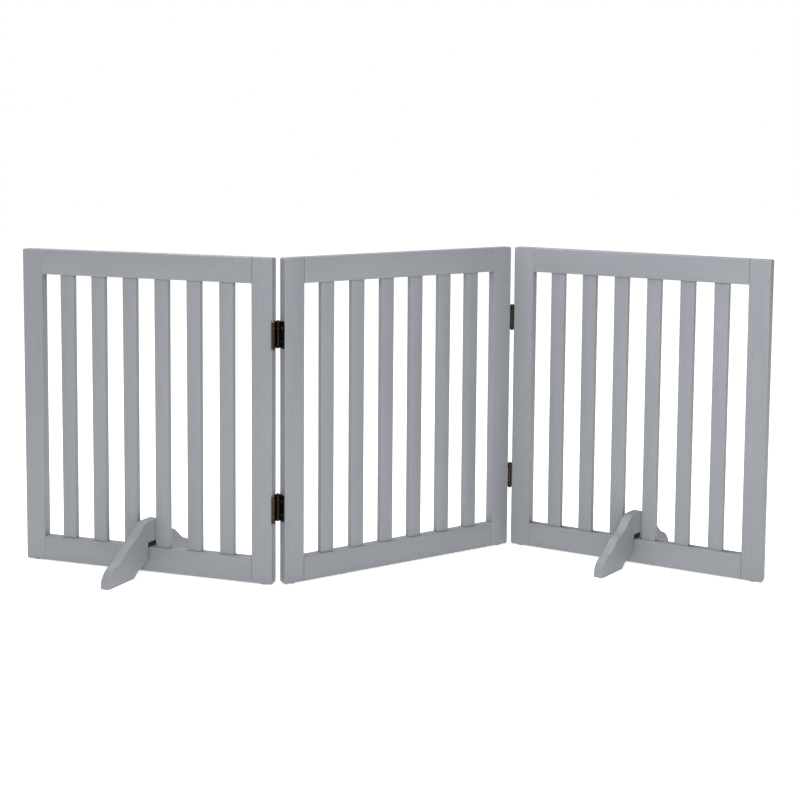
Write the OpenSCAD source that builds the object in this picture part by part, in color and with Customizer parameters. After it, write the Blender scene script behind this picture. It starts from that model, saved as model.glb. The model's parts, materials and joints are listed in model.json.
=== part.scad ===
// Free-standing folding pet gate: three slatted panels, two-pin hinges and two lift-off feet.
// The floor is z = 0, and the middle panel lies along X with its front face towards -Y.

/* [Panels] */
// Height of a panel's boards, without its glides
panel_h = 608; // [450:1:900]
// Width of one panel
panel_w = 520; // [450:1:700]
// Thickness of the stiles and rails
board_t = 20; // [17:0.5:26]
// Width of a stile
stile_w = 41; // [38:0.5:60]
// Height of the top rail
top_rail_h = 48; // [40:0.5:70]
// Height of the bottom rail
bottom_rail_h = 47; // [40:0.5:60]
// Radius of the eased long edges of the boards
ease_r = 1.6; // [0.8:0.1:2.5]

/* [Slats] */
// Number of slats in each panel, even so that a gap stays in the middle
slat_count = 6; // [4:2:6]
// Width of a slat
slat_w = 28.4; // [20:0.1:32]
// Thickness of a slat
slat_t = 12; // [9:0.5:13]
// Length of a slat's tenon in each rail
tenon_l = 8; // [5:0.5:14]

/* [Stance] */
// Angle by which the left panel is folded to the rear
left_fold = 52; // [0:1:90]
// Angle by which the right panel is folded to the front
right_fold = 63; // [0:1:90]
// Angle by which a foot is turned in its seat
foot_skew = 8; // [0:1:12]

/* [Hinges] */
// Gap between two panels when they stand in line
hinge_gap = 6; // [5.6:0.1:12]
// Height of a hinge leaf
leaf_h = 50; // [40:1:70]
// Thickness of a hinge leaf
leaf_t = 1.5; // [1.2:0.1:1.8]
// Distance from a panel's end to the middle of the nearer hinge
hinge_inset = 142; // [110:1:180]
// Outside diameter of a knuckle
knuckle_d = 6.4; // [5.8:0.1:6.6]
// Diameter of a hinge pin
pin_d = 3; // [2.5:0.1:3.4]
// Distance of a pin's axis outside the face of the panels
pin_offset = 1.5; // [1.2:0.1:2]

/* [Feet] */
// Height of a foot at its crown
foot_h = 100; // [85:1:130]
// Length of a foot, from nose to nose
foot_l = 274; // [230:1:340]
// Thickness of a foot
foot_t = 19; // [14:0.5:20]
// Thickness of the foam pad between a foot and the bottom rail
pad_t = 9; // [4:0.5:12]

/* [Fasteners] */
// Diameter of a dowel
dowel_d = 8; // [6:0.5:10]
// Length of a dowel
dowel_l = 36; // [24:1:38]
// Diameter of a hinge screw's shank
screw_d = 3; // [2.5:0.1:3.5]
// Length of a hinge screw
screw_l = 15; // [10:1:16]
// Diameter of a floor glide
glide_d = 14; // [10:0.5:16]
// Height of a floor glide
glide_h = 2; // [1:0.5:4]

/* [Hidden] */
$fn = 48;
fit = 0.05;              // radial clearance of a pin, screw or dowel in its bore
seat_gap = 0.6;          // clearance of the bottom rail in a foot's seat
joint_gap = 0.1;         // clearance of a tenon in its mortise
turn_gap = 0.4;          // clearance between pieces that turn past each other
end_gap = 0.3;           // clearance between stacked knuckles
spill = 1;               // how far a cut runs out past the face that it opens
ease_step = 30;          // angle between the points of an eased edge
corner_r = 3;            // radius of a stile's corners, seen from the front
dowel_pitch = 24;        // distance between the two dowels of a joint
screw_pitch = 25;        // distance between the screws of a leaf
screw_head_r = screw_d;  // radius of a screw's head
recess_w = 0.8;          // width of the cross in a screw's head
recess_l = 1.2 * screw_head_r;
recess_depth = 0.7;      // depth of that cross
pin_head_h = 1.4;        // height of a pin's peened head
pin_head_r = pin_d / 2 + 1;
link_t = 1.6;            // thickness of the plate that joins the two pins
glide_inset = 20;        // distance from a panel's end to a glide's centre
glide_taper = 0.6;       // how much smaller a glide's radius is at the floor

panel_names = ["left", "middle", "right"];
hinge_sides = ["left", "right"];
levels = ["lower", "upper"];

board_z = glide_h;
rail_l = panel_w - 2 * stile_w;
slat_gap = (rail_l - slat_count * slat_w) / (slat_count + 1);
bore_end = 1;            // spare depth at the blind end of a bore
front_pin_y = -pin_offset;
rear_pin_y = board_t + pin_offset;
knuckle_r = knuckle_d / 2;
knuckle_h = leaf_h / 4;  // height of the knuckles at a leaf's two ends
link_h = leaf_h - 2 * knuckle_h - 2 * end_gap;
leaf_start = sqrt(pow(knuckle_r + turn_gap, 2) - pow(hinge_gap / 2 - leaf_t, 2)) - pin_offset;
hinge_z = [board_z + hinge_inset - leaf_h / 2, board_z + panel_h - hinge_inset - leaf_h / 2];
screw_z = [leaf_h / 2 - screw_pitch / 2, leaf_h / 2 + screw_pitch / 2];

// the foot's profile
crown_half = 16;         // half the length of the flat on the crown
nose_drop = 37;          // height at which the nose begins
nose_run = 24;           // how far the nose lies in front of that point
wave = 0.45;             // depth of the two waves in the foot's back, as a share of its slope
back_steps = 24;         // points along half of the back
nose_steps = 8;          // points round the nose
arch_half = 58;          // half the span of the arch under a foot
arch_rise = 24;          // height of that arch
seat_w = (board_t + 2 * seat_gap) / cos(foot_skew) + foot_t * tan(foot_skew);
seat_z = board_z + bottom_rail_h + pad_t;

// where the panels stand
left_pin = [-(panel_w + hinge_gap) / 2, rear_pin_y];
right_pin = [(panel_w + hinge_gap) / 2, front_pin_y];
function turned(p, pivot, angle) = pivot + [
    cos(angle) * (p.x - pivot.x) - sin(angle) * (p.y - pivot.y),
    sin(angle) * (p.x - pivot.x) + cos(angle) * (p.y - pivot.y)
];
function panel_end(p) = p == "left" ? -1.5 * panel_w - hinge_gap
    : p == "middle" ? -panel_w / 2 : panel_w / 2 + hinge_gap;
function stood(p, at) = p == "left" ? turned(at + [panel_end(p), 0], left_pin, -left_fold)
    : p == "right" ? turned(at + [panel_end(p), 0], right_pin, -right_fold)
    : at + [panel_end(p), 0];
board_corners = [for (p = panel_names, x = [0, panel_w], y = [0, board_t]) stood(p, [x, y])];
foot_corners = [for (s = hinge_sides, x = [-1, 1], y = [-1, 1])
    stood(s, turned([panel_w / 2 + x * foot_t / 2, board_t / 2 + y * foot_l / 2],
        [panel_w / 2, board_t / 2], -foot_skew))];
corners = concat(board_corners, foot_corners);
middle_x = (min([for (c = corners) c.x]) + max([for (c = corners) c.x])) / 2;
middle_y = (min([for (c = corners) c.y]) + max([for (c = corners) c.y])) / 2;

// cross-section of a board with eased edges, from its corner at the origin
function eased(w, t) = [for (c = [[w - ease_r, t - ease_r, 0], [ease_r, t - ease_r, 90],
    [ease_r, ease_r, 180], [w - ease_r, ease_r, 270]])
    for (a = [0:ease_step:90]) [c.x + ease_r * cos(c.z + a), c.y + ease_r * sin(c.z + a)]];

// half of the foot's back, from its crown to its nose at the floor
back_run = foot_l / 2 - nose_run - crown_half;
end_slope = (1 - wave) * (foot_h - nose_drop) / back_run;
nose_turn = 90 - atan(end_slope);
nose_r = nose_run / (1 - cos(nose_turn));
nose_z = nose_drop - nose_r * sin(nose_turn);
function back_z(s) = foot_h - (foot_h - nose_drop) * (s - wave * sin(720 * s) / (4 * PI));
half_back = concat(
    [for (s = [0:1 / back_steps:0.999]) [crown_half + s * back_run, back_z(s)]],
    [for (a = [nose_turn:-nose_turn / nose_steps:-0.001])
        [foot_l / 2 - nose_r * (1 - cos(a)), nose_z + nose_r * sin(a)]],
    [[foot_l / 2, 0]]
);
arch_r = (pow(arch_half, 2) + pow(arch_rise, 2)) / (2 * arch_rise);

module place(p) {
    translate([-middle_x, -middle_y, 0])
        if (p == "left")
            about(left_pin, -left_fold) translate([panel_end(p), 0, board_z]) children();
        else if (p == "right")
            about(right_pin, -right_fold) translate([panel_end(p), 0, board_z]) children();
        else
            translate([panel_end(p), 0, board_z]) children();
}

module about(pivot, angle) {
    translate(pivot) rotate([0, 0, angle]) translate(-pivot) children();
}

// a hinge's own frame: the middle of the gap, level with the panels' front, folded with side s
module place_hinge(s, v, folded) {
    pivot = s == "left" ? left_pin : right_pin;
    angle = s == "left" ? -left_fold : -right_fold;
    z = v == "lower" ? hinge_z[0] : hinge_z[1];
    translate([-middle_x, -middle_y, 0])
        about(pivot, folded ? angle : 0)
            translate([pivot.x, 0, z]) children();
}

// a bar along Z with eased edges
module board(w, t, l) {
    linear_extrude(l) polygon(eased(w, t));
}

// a rail between the stiles, with its underside at z = 0
module rail_bar(h) {
    translate([stile_w, 0, 0]) rotate([90, 0, 90]) board(board_t, h, rail_l);
}

function slat_x(i) = stile_w + slat_gap * i + slat_w * (i - 1);

// the mortises of one rail, with their floor or mouth at height z
module mortises(z) {
    for (i = [1:slat_count])
        translate([slat_x(i) - joint_gap, (board_t - slat_t) / 2 - joint_gap, z])
            cube([slat_w + 2 * joint_gap, slat_t + 2 * joint_gap, tenon_l + joint_gap + spill]);
}

dowel_z = [for (z = [bottom_rail_h / 2, panel_h - top_rail_h / 2], k = [-1, 1])
    z + k * dowel_pitch / 2];

// rods across the four joints between stiles and rails
module rods(d, l) {
    for (x = [stile_w, panel_w - stile_w], z = dowel_z)
        translate([x - l / 2, board_t / 2, z]) rotate([0, 90, 0]) cylinder(d = d, h = l);
}

module dowel_bores() {
    rods(dowel_d + 2 * fit, dowel_l + 2 * bore_end);
}

module dowels() {
    color("#c9ad83") rods(dowel_d, dowel_l);
}

// a stile seen from the front: its outer corners are rounded
module stile_outline() {
    arc = [for (a = [0:ease_step / 2:90]) corner_r * [1 - sin(a), 1 - cos(a)]];
    points = concat(
        arc,
        [for (i = [len(arc) - 1:-1:0]) [arc[i].x, panel_h - arc[i].y]],
        [[stile_w, panel_h], [stile_w, 0]]
    );
    translate([0, board_t, 0]) rotate([90, 0, 0]) linear_extrude(board_t) polygon(points);
}

// the stile at a panel's left end
module left_stile(hinged) {
    color("#9fa2a8")
        difference() {
            intersection() {
                board(stile_w, board_t, panel_h);
                stile_outline();
            }
            dowel_bores();
            if (hinged)
                screw_bores();
        }
}

module right_stile(hinged) {
    translate([panel_w, 0, 0]) mirror([1, 0, 0]) left_stile(hinged);
}

// blind holes for the screws of both leaves, in the stile's outer edge
module screw_bores() {
    for (z0 = hinge_z, z = screw_z)
        translate([-spill, board_t / 2, z0 - board_z + z]) rotate([0, 90, 0])
            cylinder(d = screw_d + 2 * fit, h = screw_l + bore_end + spill);
}

module top_rail() {
    color("#9fa2a8")
        difference() {
            translate([0, 0, panel_h - top_rail_h]) rail_bar(top_rail_h);
            mortises(panel_h - top_rail_h - spill);
            dowel_bores();
        }
}

module bottom_rail() {
    color("#9fa2a8")
        difference() {
            rail_bar(bottom_rail_h);
            mortises(bottom_rail_h - tenon_l - joint_gap);
            dowel_bores();
        }
}

module slat(i) {
    color("#a5a8ae")
        translate([slat_x(i), (board_t - slat_t) / 2, bottom_rail_h - tenon_l])
            board(slat_w, slat_t, panel_h - top_rail_h - bottom_rail_h + 2 * tenon_l);
}

module glides() {
    color("#34332f")
        for (x = [glide_inset, panel_w - glide_inset])
            translate([x, board_t / 2, -glide_h])
                cylinder(r1 = glide_d / 2 - glide_taper, r2 = glide_d / 2, h = glide_h);
}

// a leaf on the right-hand stile, with its knuckles round the rear pin
module right_hand_leaf() {
    color("#3b332b")
        difference() {
            union() {
                translate([hinge_gap / 2 - leaf_t, leaf_start, 0])
                    cube([leaf_t, rear_pin_y - leaf_start, leaf_h]);
                for (z = [0, leaf_h - knuckle_h]) {
                    translate([0, rear_pin_y, z]) cylinder(r = knuckle_r, h = knuckle_h);
                    translate([0, rear_pin_y - leaf_t, z]) cube([hinge_gap / 2, leaf_t, knuckle_h]);
                }
            }
            translate([0, rear_pin_y, knuckle_h])
                cylinder(r = knuckle_r + turn_gap, h = leaf_h - 2 * knuckle_h);
            translate([0, rear_pin_y, -spill])
                cylinder(d = pin_d + 2 * fit, h = leaf_h + 2 * spill);
            for (z = screw_z)
                translate([hinge_gap / 2 - leaf_t, board_t / 2, z]) rotate([0, 90, 0])
                    screw_shape(fit);
        }
}

// half a turn about the middle of the gap swaps the two hands
module left_hand() {
    translate([0, board_t, 0]) rotate([0, 0, 180]) children();
}

// a countersunk screw along Z, with its head's top at z = 0, and larger all round by extra
module screw_shape(extra) {
    cylinder(r1 = screw_head_r + extra, r2 = screw_d / 2 + extra, h = leaf_t);
    cylinder(d = screw_d + 2 * extra, h = leaf_t + screw_l);
}

module screw() {
    difference() {
        screw_shape(0);
        for (a = [0, 90])
            rotate([0, 0, a]) translate([-recess_l / 2, -recess_w / 2, -spill])
                cube([recess_l, recess_w, recess_depth + spill]);
    }
}

module right_hand_screws() {
    color("#4a4238")
        for (z = screw_z)
            translate([hinge_gap / 2 - leaf_t, board_t / 2, z]) rotate([0, 90, 0]) screw();
}

module pin(y) {
    color("#4a4238")
        translate([0, y, -pin_head_h]) {
            cylinder(r = pin_head_r, h = pin_head_h);
            cylinder(d = pin_d, h = leaf_h + 2 * pin_head_h);
            translate([0, 0, leaf_h + pin_head_h]) cylinder(r = pin_head_r, h = pin_head_h);
        }
}

module link() {
    color("#3b332b")
        translate([0, 0, knuckle_h + end_gap])
            difference() {
                union() {
                    for (y = [front_pin_y, rear_pin_y])
                        translate([0, y, 0]) cylinder(r = knuckle_r, h = link_h);
                    translate([-link_t / 2, front_pin_y, 0])
                        cube([link_t, rear_pin_y - front_pin_y, link_h]);
                }
                for (y = [front_pin_y, rear_pin_y])
                    translate([0, y, -spill]) cylinder(d = pin_d + 2 * fit, h = link_h + 2 * spill);
            }
}

// the pieces fixed to the middle panel at hinge side s: its leaf, screws and pin face the gap
module inner(s) {
    if (s == "left")
        children();
    else
        left_hand() children();
}

module outer(s) {
    if (s == "right")
        children();
    else
        left_hand() children();
}

module inner_leaf(s, v) {
    place_hinge(s, v, false) inner(s) right_hand_leaf();
}

module outer_leaf(s, v) {
    place_hinge(s, v, true) outer(s) right_hand_leaf();
}

module hinge_screws(p) {
    for (v = levels)
        if (p == "middle")
            for (s = hinge_sides) place_hinge(s, v, false) inner(s) right_hand_screws();
        else
            place_hinge(p, v, true) outer(p) right_hand_screws();
}

module hinge_pins(p) {
    for (v = levels)
        if (p == "middle")
            for (s = hinge_sides) place_hinge(s, v, false) inner(s) pin(rear_pin_y);
        else
            place_hinge(p, v, true) outer(p) pin(rear_pin_y);
}

// a foot's own frame: the floor under the middle of the bottom rail, with its length along Y
module place_foot(s) {
    place(s) translate([panel_w / 2, board_t / 2, -board_z]) rotate([0, 0, -foot_skew]) children();
}

module foot() {
    mirrored_back = [for (i = [len(half_back) - 1:-1:0]) [-half_back[i].x, half_back[i].y]];
    color("#9fa2a8")
        difference() {
            translate([-foot_t / 2, 0, 0]) rotate([90, 0, 90])
                linear_extrude(foot_t) polygon(concat(half_back, mirrored_back));
            translate([-foot_t / 2 - spill, 0, arch_rise - arch_r]) rotate([0, 90, 0])
                cylinder(r = arch_r, h = foot_t + 2 * spill);
            translate([-foot_t / 2 - spill, -seat_w / 2, -spill])
                cube([foot_t + 2 * spill, seat_w, seat_z + spill]);
        }
}

module foot_pad() {
    color("#1d1d1e")
        translate([-foot_t / 2, -seat_w / 2 + joint_gap, board_z + bottom_rail_h])
            cube([foot_t, seat_w - 2 * joint_gap, pad_t]);
}

for (p = panel_names) {
    place(p) left_stile(p != "left");
    place(p) right_stile(p != "right");
    place(p) top_rail();
    place(p) bottom_rail();
    place(p) dowels();
    place(p) glides();
    hinge_screws(p);
    hinge_pins(p);
}
for (p = panel_names, i = [1:slat_count])
    place(p) slat(i);
for (s = hinge_sides, v = levels) {
    name = str(s, "_hinge_", v);
    inner_leaf(s, v);
    outer_leaf(s, v);
    place_hinge(s, v, true) link();
}
for (s = hinge_sides) {
    place_foot(s) foot();
    place_foot(s) foot_pad();
}
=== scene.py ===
import json
import math
import bmesh
import bpy
from mathutils import Matrix, Vector


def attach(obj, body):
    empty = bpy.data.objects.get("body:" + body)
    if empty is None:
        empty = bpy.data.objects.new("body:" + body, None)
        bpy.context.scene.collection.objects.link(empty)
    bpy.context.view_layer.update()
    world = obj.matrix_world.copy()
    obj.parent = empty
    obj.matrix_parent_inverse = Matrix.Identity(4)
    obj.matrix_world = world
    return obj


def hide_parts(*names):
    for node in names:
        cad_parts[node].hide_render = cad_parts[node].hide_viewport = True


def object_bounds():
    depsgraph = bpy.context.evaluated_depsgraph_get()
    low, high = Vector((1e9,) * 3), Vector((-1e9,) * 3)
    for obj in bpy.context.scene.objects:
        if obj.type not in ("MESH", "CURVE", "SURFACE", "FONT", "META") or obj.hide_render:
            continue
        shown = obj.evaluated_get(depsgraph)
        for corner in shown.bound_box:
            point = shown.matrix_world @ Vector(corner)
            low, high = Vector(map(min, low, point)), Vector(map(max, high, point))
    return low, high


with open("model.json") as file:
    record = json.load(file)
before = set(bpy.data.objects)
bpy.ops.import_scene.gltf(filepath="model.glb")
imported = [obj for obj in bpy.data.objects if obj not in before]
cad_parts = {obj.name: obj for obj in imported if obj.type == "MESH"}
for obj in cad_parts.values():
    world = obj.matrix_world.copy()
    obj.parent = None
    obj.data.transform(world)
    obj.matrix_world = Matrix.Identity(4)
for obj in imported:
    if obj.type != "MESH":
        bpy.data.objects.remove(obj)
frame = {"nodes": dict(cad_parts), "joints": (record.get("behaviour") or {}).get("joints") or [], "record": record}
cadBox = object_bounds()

mm = 0.001
panelNames = ("left", "middle", "right")
nodes = frame["nodes"]
record = frame["record"]
jointNamed = {joint["name"]: joint for joint in frame["joints"]}
bodyOf = {node: body for body, members in record["behaviour"]["bodies"].items() for node in members}


# Where the panels stand

def turnedAbout(point, angle):
    there = Matrix.Translation(point)
    return there @ Matrix.Rotation(angle, 4, "Z") @ there.inverted()


def foldOf(jointName):
    # the joint turns about -Z and its panels are in line at its lowest value, so that value
    # about +Z takes a panel from in line to where it stands
    return math.radians(jointNamed[jointName]["range_deg"][0])


leftFold = foldOf("left_rear_fold")
rightFold = foldOf("right_front_fold")
foldAngle = {"left": leftFold, "middle": 0.0, "right": rightFold}
stood = {
    "left": turnedAbout(Vector(jointNamed["left_rear_fold"]["pos_m"]), leftFold),
    "middle": Matrix.Identity(4),
    "right": turnedAbout(Vector(jointNamed["right_front_fold"]["pos_m"]), rightFold),
}


def straightBox(node, panel):
    # the node's box as it is when the gate stands in a straight line
    back = stood[panel].inverted()
    points = [back @ vertex.co for vertex in nodes[node].data.vertices]
    low = Vector([min(point[i] for point in points) for i in range(3)])
    high = Vector([max(point[i] for point in points) for i in range(3)])
    return low, high


# Materials

def linear(hexColour):
    # sRGB hex to linear light
    channels = [int(hexColour[i:i + 2], 16) / 255 for i in (1, 3, 5)]
    return [c / 12.92 if c <= 0.04045 else ((c + 0.055) / 1.055) ** 2.4 for c in channels] + [1]


def addNode(tree, kind, settings, links):
    node = tree.nodes.new(kind)
    for name, value in settings.items():
        if isinstance(name, int) or name in node.inputs:
            node.inputs[name].default_value = value
        else:
            setattr(node, name, value)
    for socket, source in links.items():
        tree.links.new(source, node.inputs[socket])
    return node


def startMaterial(name, shader):
    material = bpy.data.materials.new(name)
    material.use_nodes = True
    tree = material.node_tree
    tree.nodes.clear()
    surface = addNode(tree, "ShaderNodeBsdfPrincipled", shader, {})
    addNode(tree, "ShaderNodeOutputMaterial", {}, {"Surface": surface.outputs["BSDF"]})
    coords = addNode(tree, "ShaderNodeTexCoord", {}, {}).outputs["Object"]
    return material, tree, surface, coords


def pattern(tree, coords, cell, turn=0.0, kind="ShaderNodeTexNoise", **settings):
    # a texture whose repeat is cell, in mm, along each axis, turned with its piece about Z
    place = addNode(tree, "ShaderNodeMapping", {
        "vector_type": "TEXTURE", "Rotation": (0, 0, turn), "Scale": [size * mm for size in cell],
    }, {"Vector": coords})
    return addNode(tree, kind, {"Scale": 1.0, **settings}, {"Vector": place.outputs["Vector"]})


# a Mix node's sockets for colours, which share their names with those for numbers
amount, first, second, mixed = 0, 6, 7, 2

paint = {
    "deep": "#797c81", "light": "#84878c", "streak": "#717479",
    "toneCell": 70, "toneRun": 260,          # mm, slow drift of the sprayed coat
    "grainCell": 3.2, "grainRun": 95,        # mm, grain that telegraphs through the coat
    "peelCell": 1.6,                         # mm, orange peel of the spray, drawn coarse to show
    "grainDepth": 0.05, "peelDepth": 0.012,  # mm
    "streakLow": -0.35, "streakHigh": 0.6,   # share of streak colour, below zero for none
    "smooth": 0.40, "dull": 0.56, "ior": 1.5,
}


def paintedWood(name, turn, along):
    # satin acrylic paint sprayed on poplar: an even soft sheen, faint grain along the board
    material, tree, surface, coords = startMaterial(name, {"IOR": paint["ior"]})

    def stretched(across, length):
        return [length if axis == along else across for axis in range(3)]

    toneCell = stretched(paint["toneCell"], paint["toneRun"])
    grainCell = stretched(paint["grainCell"], paint["grainRun"])
    tone = pattern(tree, coords, toneCell, turn, Detail=2.0)
    grain = pattern(tree, coords, grainCell, turn, Detail=4.0, Roughness=0.6)
    peel = pattern(tree, coords, [paint["peelCell"]] * 3, turn, Detail=1.0)
    coat = addNode(tree, "ShaderNodeMix", {
        "data_type": "RGBA", first: linear(paint["deep"]), second: linear(paint["light"]),
    }, {amount: tone.outputs["Fac"]})
    streaks = addNode(tree, "ShaderNodeMapRange", {
        "To Min": paint["streakLow"], "To Max": paint["streakHigh"],
    }, {"Value": grain.outputs["Fac"]})
    colour = addNode(tree, "ShaderNodeMix", {
        "data_type": "RGBA", second: linear(paint["streak"]),
    }, {amount: streaks.outputs["Result"], first: coat.outputs[mixed]})
    tree.links.new(colour.outputs[mixed], surface.inputs["Base Color"])
    sheen = addNode(tree, "ShaderNodeMapRange", {
        "To Min": paint["smooth"], "To Max": paint["dull"],
    }, {"Value": peel.outputs["Fac"]})
    tree.links.new(sheen.outputs["Result"], surface.inputs["Roughness"])
    deep = addNode(tree, "ShaderNodeBump", {"Distance": paint["grainDepth"] * mm, "Strength": 1.0},
                   {"Height": grain.outputs["Fac"]})
    fine = addNode(tree, "ShaderNodeBump", {"Distance": paint["peelDepth"] * mm, "Strength": 1.0},
                   {"Height": peel.outputs["Fac"], "Normal": deep.outputs["Normal"]})
    tree.links.new(fine.outputs["Normal"], surface.inputs["Normal"])
    return material


# the pale colour marks rubbed-through wear and also serves as painted glints
bronze = {
    "patina": "#1f1b18", "metal": "#473f36", "abradedGlintColour": "#c2b39c",
    "cloudCell": 7, "glintAbrasionCell": 2.4, "pitCell": 0.9,  # mm
    "pitDepth": 0.03,                                 # mm
    "plateGlintAbrasion": 0.0, "headGlintAbrasion": 0.3,                # the more, the larger the bright patches of wear and painted glint
    "spotStart": 0.68, "spotFull": 0.80, "spotShow": 0.8,
    "smooth": 0.30, "dull": 0.52,
}


def antiqueBronze(name, abrasionAndGlint):
    # oil-rubbed bronze plate on stamped steel: near black, with warm bright patches that are partly rubbed-through
    # wear and partly painted glints
    material, tree, surface, coords = startMaterial(name, {"Metallic": 1.0})
    clouds = pattern(tree, coords, [bronze["cloudCell"]] * 3, Detail=3.0)
    glintAbrasionNoise = pattern(tree, coords, [bronze["glintAbrasionCell"]] * 3, Detail=2.0)
    pits = pattern(tree, coords, [bronze["pitCell"]] * 3, Detail=1.0)
    base = addNode(tree, "ShaderNodeMix", {
        "data_type": "RGBA", first: linear(bronze["patina"]), second: linear(bronze["metal"]),
    }, {amount: clouds.outputs["Fac"]})
    # bright patches: partly real wear, partly painted glints in place of reflected lamplight
    spots = addNode(tree, "ShaderNodeMapRange", {
        "From Min": bronze["spotStart"] - abrasionAndGlint, "From Max": bronze["spotFull"] - abrasionAndGlint / 2,
        "To Min": 0.0, "To Max": bronze["spotShow"],
    }, {"Value": glintAbrasionNoise.outputs["Fac"]})
    colour = addNode(tree, "ShaderNodeMix", {
        "data_type": "RGBA", second: linear(bronze["abradedGlintColour"]),
    }, {amount: spots.outputs["Result"], first: base.outputs[mixed]})
    tree.links.new(colour.outputs[mixed], surface.inputs["Base Color"])
    sheen = addNode(tree, "ShaderNodeMapRange", {
        "To Min": bronze["dull"], "To Max": bronze["smooth"],
    }, {"Value": clouds.outputs["Fac"]})
    tree.links.new(sheen.outputs["Result"], surface.inputs["Roughness"])
    dents = addNode(tree, "ShaderNodeBump", {"Distance": bronze["pitDepth"] * mm, "Strength": 1.0},
                    {"Height": pits.outputs["Fac"]})
    tree.links.new(dents.outputs["Normal"], surface.inputs["Normal"])
    return material


foam = {"cell": 1.1, "depth": 0.25, "skin": "#1b1b1c", "paintedPoreShade": "#0a0a0a", "dull": 0.95}  # mm


def blackFoam():
    # cut EVA foam: matt black, open cells whose hollow middles are darkened with painted shade
    material, tree, surface, coords = startMaterial("black EVA foam", {"Roughness": foam["dull"]})
    cells = pattern(tree, coords, [foam["cell"]] * 3, 0.0, "ShaderNodeTexVoronoi")
    # darker where the cells dip: painted shade in the pores
    colour = addNode(tree, "ShaderNodeMix", {
        "data_type": "RGBA", first: linear(foam["paintedPoreShade"]), second: linear(foam["skin"]),
    }, {amount: cells.outputs["Distance"]})
    tree.links.new(colour.outputs[mixed], surface.inputs["Base Color"])
    pores = addNode(tree, "ShaderNodeBump", {"Distance": foam["depth"] * mm, "Strength": 1.0},
                    {"Height": cells.outputs["Distance"]})
    tree.links.new(pores.outputs["Normal"], surface.inputs["Normal"])
    return material


nylon = {
    "grit": 0.7, "depth": 0.02,  # mm
    "light": "#3c3a36", "dark": "#2c2b28", "smooth": 0.5, "dull": 0.7, "ior": 1.53,
}


def mouldedNylon():
    # moulded nylon glide: dark, with the dull fine grain of the mould
    material, tree, surface, coords = startMaterial("moulded dark nylon", {"IOR": nylon["ior"]})
    grit = pattern(tree, coords, [nylon["grit"]] * 3, Detail=2.0)
    colour = addNode(tree, "ShaderNodeMix", {
        "data_type": "RGBA", first: linear(nylon["dark"]), second: linear(nylon["light"]),
    }, {amount: grit.outputs["Fac"]})
    tree.links.new(colour.outputs[mixed], surface.inputs["Base Color"])
    sheen = addNode(tree, "ShaderNodeMapRange", {
        "To Min": nylon["smooth"], "To Max": nylon["dull"],
    }, {"Value": grit.outputs["Fac"]})
    tree.links.new(sheen.outputs["Result"], surface.inputs["Roughness"])
    grain = addNode(tree, "ShaderNodeBump", {"Distance": nylon["depth"] * mm, "Strength": 1.0},
                    {"Height": grit.outputs["Fac"]})
    tree.links.new(grain.outputs["Normal"], surface.inputs["Normal"])
    return material


beech = {"fleck": 1.1, "run": 12, "pale": "#d8b98c", "brown": "#b98f5e", "dull": 0.62}  # mm


def bareBeech(name, turn):
    # turned beech dowel: pale, with short brown flecks along the rod
    material, tree, surface, coords = startMaterial(name, {"Roughness": beech["dull"]})
    cell = [beech["run"], beech["fleck"], beech["fleck"]]
    flecks = pattern(tree, coords, cell, turn, Detail=3.0)
    colour = addNode(tree, "ShaderNodeMix", {
        "data_type": "RGBA", first: linear(beech["brown"]), second: linear(beech["pale"]),
    }, {amount: flecks.outputs["Fac"]})
    tree.links.new(colour.outputs[mixed], surface.inputs["Base Color"])
    return material


alongX, alongY, upright = range(3)
upPaint = paintedWood("satin grey paint, upright grain", 0.0, upright)
railPaint = {name: paintedWood(f"satin grey paint, {name} rails", foldAngle[name], alongX)
             for name in panelNames}
# plates and heads both get bright patches of wear and painted glint, larger on the heads and pins
hingeMetal = antiqueBronze("antique bronze hinge plate", bronze["plateGlintAbrasion"])
screwMetal = antiqueBronze("antique bronze, heads with abrasion and painted glints", bronze["headGlintAbrasion"])
padFoam = blackFoam()
glideNylon = mouldedNylon()
print("materials made")


# Pieces

def finishPiece(name, shape, material, node, smoothAngle):
    # turns a bmesh into the piece that stands for a CAD node and moves with its body
    bmesh.ops.recalc_face_normals(shape, faces=shape.faces)
    mesh = bpy.data.meshes.new(name)
    shape.to_mesh(mesh)
    shape.free()
    for face in mesh.polygons:
        face.use_smooth = True
    mesh.set_sharp_from_angle(angle=math.radians(smoothAngle))
    mesh.materials.append(material)
    piece = bpy.data.objects.new(name, mesh)
    bpy.context.scene.collection.objects.link(piece)
    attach(piece, bodyOf[node])
    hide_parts(node)
    return piece


def runsAlong(edge, axis):
    step = edge.verts[1].co - edge.verts[0].co
    return math.isclose(abs(step[axis]), step.length, rel_tol=0.01)


def barShape(low, high):
    shape = bmesh.new()
    bmesh.ops.create_cube(shape, size=1)
    bmesh.ops.scale(shape, vec=high - low, verts=shape.verts)
    bmesh.ops.translate(shape, vec=(low + high) / 2, verts=shape.verts)
    return shape


def rounded(shape, edges, radius, steps):
    bmesh.ops.bevel(shape, geom=edges, offset=radius * mm, offset_type="OFFSET", segments=steps,
                    profile=0.5, affect="EDGES", material=-1)


stile = {"corner": 3.2, "cornerSteps": 5, "ease": 1.5, "easeSteps": 3, "arris": 60, "smooth": 35}


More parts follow.
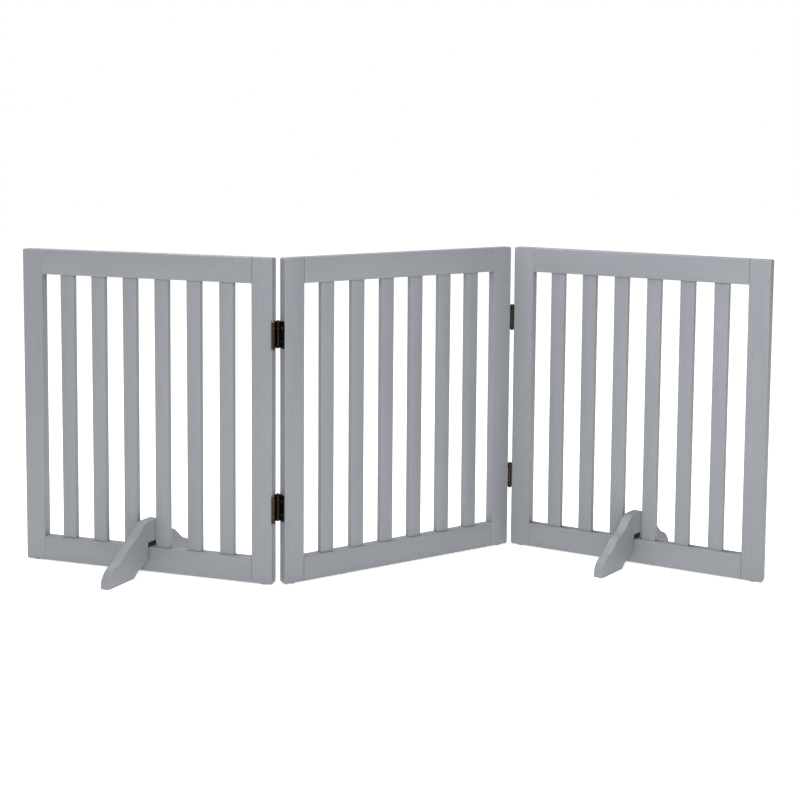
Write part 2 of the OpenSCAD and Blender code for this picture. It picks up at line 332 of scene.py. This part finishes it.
def makeStile(panel, side):
    node = f"{panel}_panel_{side}_stile"
    low, high = straightBox(node, panel)
    shape = barShape(low, high)
    outerX = low.x if side == "left" else high.x
    corners = [edge for edge in shape.edges
               if runsAlong(edge, alongY) and abs(edge.verts[0].co.x - outerX) < mm]
    rounded(shape, corners, stile["corner"], stile["cornerSteps"])
    arrises = [edge for edge in shape.edges if edge.calc_face_angle() > math.radians(stile["arris"])]
    rounded(shape, arrises, stile["ease"], stile["easeSteps"])
    bmesh.ops.transform(shape, matrix=stood[panel], verts=shape.verts)
    finishPiece(f"{panel}_{side}_stile_board", shape, upPaint, node, stile["smooth"])


slat = {"ease": 1.5, "easeSteps": 3, "smooth": 35}


def makeSlat(panel, number):
    node = f"{panel}_panel_slat_{number}"
    low, high = straightBox(node, panel)
    shape = barShape(low, high)
    arrises = [edge for edge in shape.edges if runsAlong(edge, upright)]
    rounded(shape, arrises, slat["ease"], slat["easeSteps"])
    bmesh.ops.transform(shape, matrix=stood[panel], verts=shape.verts)
    finishPiece(f"{panel}_slat_{number}_board", shape, upPaint, node, slat["smooth"])


merging = {"reach": 0.002, "flat": 0.6}  # mm, degrees


def mergedCopy(node):
    # a clean copy of a CAD node: its triangles are joined, then flat areas become one face
    shape = bmesh.new()
    shape.from_mesh(nodes[node].data)
    bmesh.ops.remove_doubles(shape, verts=shape.verts, dist=merging["reach"] * mm)
    bmesh.ops.dissolve_limit(shape, angle_limit=math.radians(merging["flat"]), verts=shape.verts,
                             edges=shape.edges, use_dissolve_boundaries=False)
    return shape


def makeSoftened(node, name, material, edges):
    # a CAD node's own shape, with every edge sharper than the limit eased
    piece = finishPiece(name, mergedCopy(node), material, node, edges["smooth"])
    bevel = piece.modifiers.new("eased edges", "BEVEL")
    bevel.width = edges["ease"] * mm
    bevel.segments = edges["steps"]
    bevel.limit_method = "ANGLE"
    bevel.angle_limit = math.radians(edges["limit"])
    bevel.use_clamp_overlap = True
    bevel.harden_normals = False


# ease in mm, steps in segments, and limit, smooth and skew in degrees
rail = {"ease": 0.35, "steps": 2, "limit": 50, "smooth": 35}
glide = {"ease": 0.3, "steps": 2, "limit": 40, "smooth": 35}
pin = {"ease": 0.3, "steps": 2, "limit": 40, "smooth": 35}
screw = {"ease": 0.15, "steps": 2, "limit": 40, "smooth": 35}
plate = {"ease": 0.25, "steps": 2, "limit": 40, "smooth": 35}
foot = {"ease": 2.2, "steps": 4, "limit": 40, "smooth": 30, "skew": -8}
pad = {"ease": 1.2, "steps": 3, "limit": 40, "smooth": 35}

for panel in panelNames:
    for side in ("left", "right"):
        makeStile(panel, side)
    slatNodes = [node for node in nodes if node.startswith(f"{panel}_panel_slat_")]
    for number in range(1, len(slatNodes) + 1):
        makeSlat(panel, number)
    for height in ("top", "bottom"):
        makeSoftened(f"{panel}_panel_{height}_rail", f"{panel}_{height}_rail_board",
                     railPaint[panel], rail)
    makeSoftened(f"{panel}_panel_glides", f"{panel}_glides_moulded", glideNylon, glide)
    makeSoftened(f"{panel}_panel_hinge_pins", f"{panel}_hinge_pins_peened", screwMetal, pin)
    makeSoftened(f"{panel}_panel_hinge_screws", f"{panel}_hinge_screws_turned", screwMetal, screw)
    dowels = nodes[f"{panel}_panel_dowels"]
    dowels.data.materials.clear()
    dowels.data.materials.append(bareBeech(f"bare beech, {panel} dowels", foldAngle[panel]))
print("panels made")

for node in sorted(nodes):
    if "_hinge_lower_" in node or "_hinge_upper_" in node:
        makeSoftened(node, f"{node}_plate", hingeMetal, plate)
print("hinges made")

for side in ("left", "right"):
    # each foot stands a little skewed in its seat, and its grain runs with it
    turn = foldAngle[side] + math.radians(foot["skew"])
    footPaint = paintedWood(f"satin grey paint, {side} foot", turn, alongY)
    makeSoftened(f"{side}_foot", f"{side}_foot_block", footPaint, foot)
    makeSoftened(f"{side}_foot_pad", f"{side}_foot_pad_foam", padFoam, pad)
print("feet made")


# Stage, lights and camera

middle = (cadBox[0] + cadBox[1]) / 2
stage = {
    "half": 9.0, "glowStart": 1.3, "glowEnd": 3.2,  # m, from the middle of the floor
    "glowNear": 0.48, "glowFar": 0.8,
    "paper": "#f2f2f2", "paperShade": "#eeeeee", "dull": 0.9, "gloss": 0.1,
    "mottle": 400,                                  # mm
}


def makeFloor():
    shape = bmesh.new()
    bmesh.ops.create_grid(shape, x_segments=1, y_segments=1, size=stage["half"])
    mesh = bpy.data.meshes.new("floor")
    shape.to_mesh(mesh)
    shape.free()
    # white seamless paper: quite matt, with more glow far away, where the softboxes do not reach
    material, tree, surface, coords = startMaterial("white seamless paper", {
        "Roughness": stage["dull"], "Specular IOR Level": stage["gloss"],
        "Emission Color": linear("#ffffff"),
    })
    distance = addNode(tree, "ShaderNodeVectorMath", {"operation": "LENGTH"}, {"Vector": coords})
    glow = addNode(tree, "ShaderNodeMapRange", {
        "From Min": stage["glowStart"], "From Max": stage["glowEnd"],
        "To Min": stage["glowNear"], "To Max": stage["glowFar"],
    }, {"Value": distance.outputs["Value"]})
    tree.links.new(glow.outputs["Result"], surface.inputs["Emission Strength"])
    mottle = pattern(tree, coords, [stage["mottle"]] * 3, Detail=2.0)
    colour = addNode(tree, "ShaderNodeMix", {
        "data_type": "RGBA", first: linear(stage["paperShade"]), second: linear(stage["paper"]),
    }, {amount: mottle.outputs["Fac"]})
    tree.links.new(colour.outputs[mixed], surface.inputs["Base Color"])
    mesh.materials.append(material)
    floor = bpy.data.objects.new("floor", mesh)
    bpy.context.scene.collection.objects.link(floor)


makeFloor()

# place in m from the middle of the gate, size in m
softbox = {
    "key": {"place": (-1.0, -2.15, 1.8), "size": 1.6, "watts": 66},
    "top": {"place": (-0.2, 0.8, 2.4), "size": 2.0, "watts": 90},
}
for name, light in softbox.items():
    lamp = bpy.data.lights.new(f"{name} softbox", "AREA")
    lamp.shape = "SQUARE"
    lamp.size = light["size"]
    lamp.energy = light["watts"]
    holder = bpy.data.objects.new(f"{name} softbox", lamp)
    holder.location = middle + Vector(light["place"])
    holder.rotation_mode = "QUATERNION"
    holder.rotation_quaternion = (middle - holder.location).to_track_quat("-Z", "Y")
    bpy.context.scene.collection.objects.link(holder)

# a white room, brighter to the left as by a window; the camera itself sees plain white
room = {"left": 0.45, "right": 0.05, "backdrop": 1.0}
world = bpy.data.worlds.new("white room")
world.use_nodes = True
tree = world.node_tree
tree.nodes.clear()
rays = addNode(tree, "ShaderNodeLightPath", {}, {})
direction = addNode(tree, "ShaderNodeTexCoord", {}, {})
sides = addNode(tree, "ShaderNodeSeparateXYZ", {}, {"Vector": direction.outputs["Generated"]})
fill = addNode(tree, "ShaderNodeMapRange", {
    "From Min": -1.0, "From Max": 1.0, "To Min": room["left"], "To Max": room["right"],
}, {"Value": sides.outputs["X"]})
strength = addNode(tree, "ShaderNodeMapRange", {"To Max": room["backdrop"]},
                   {"Value": rays.outputs["Is Camera Ray"], "To Min": fill.outputs["Result"]})
glow = addNode(tree, "ShaderNodeBackground", {"Color": linear("#ffffff")},
               {"Strength": strength.outputs["Result"]})
addNode(tree, "ShaderNodeOutputWorld", {}, {"Surface": glow.outputs["Background"]})
bpy.context.scene.world = world
bpy.context.scene.view_settings.view_transform = "Standard"

viewer = {
    "place": (-1.5521, -2.3523, 0.8564),          # m, from the middle of the gate's footprint
    "turn": 33.720, "dip": 5.234, "roll": 0.450,  # degrees
    "lens": 67.338, "sensor": 36,                 # mm
    "shift": -0.175,                              # share of the frame
}
turn, dip, roll = [math.radians(viewer[key]) for key in ("turn", "dip", "roll")]
forward = Vector((math.sin(turn) * math.cos(dip), math.cos(turn) * math.cos(dip), -math.sin(dip)))
flatRight = Vector((math.cos(turn), -math.sin(turn), 0))
flatUp = flatRight.cross(forward)
right = math.cos(roll) * flatRight + math.sin(roll) * flatUp
up = math.cos(roll) * flatUp - math.sin(roll) * flatRight
camera = bpy.data.cameras.new("viewer")
camera.lens = viewer["lens"]
camera.sensor_width = viewer["sensor"]
camera.shift_y = viewer["shift"]
eye = bpy.data.objects.new("viewer", camera)
facing = Matrix((right, up, -forward)).transposed()
eye.matrix_world = Matrix.Translation(viewer["place"]) @ facing.to_4x4()
bpy.context.scene.collection.objects.link(eye)
bpy.context.scene.camera = eye
print("stage, lights and camera made")
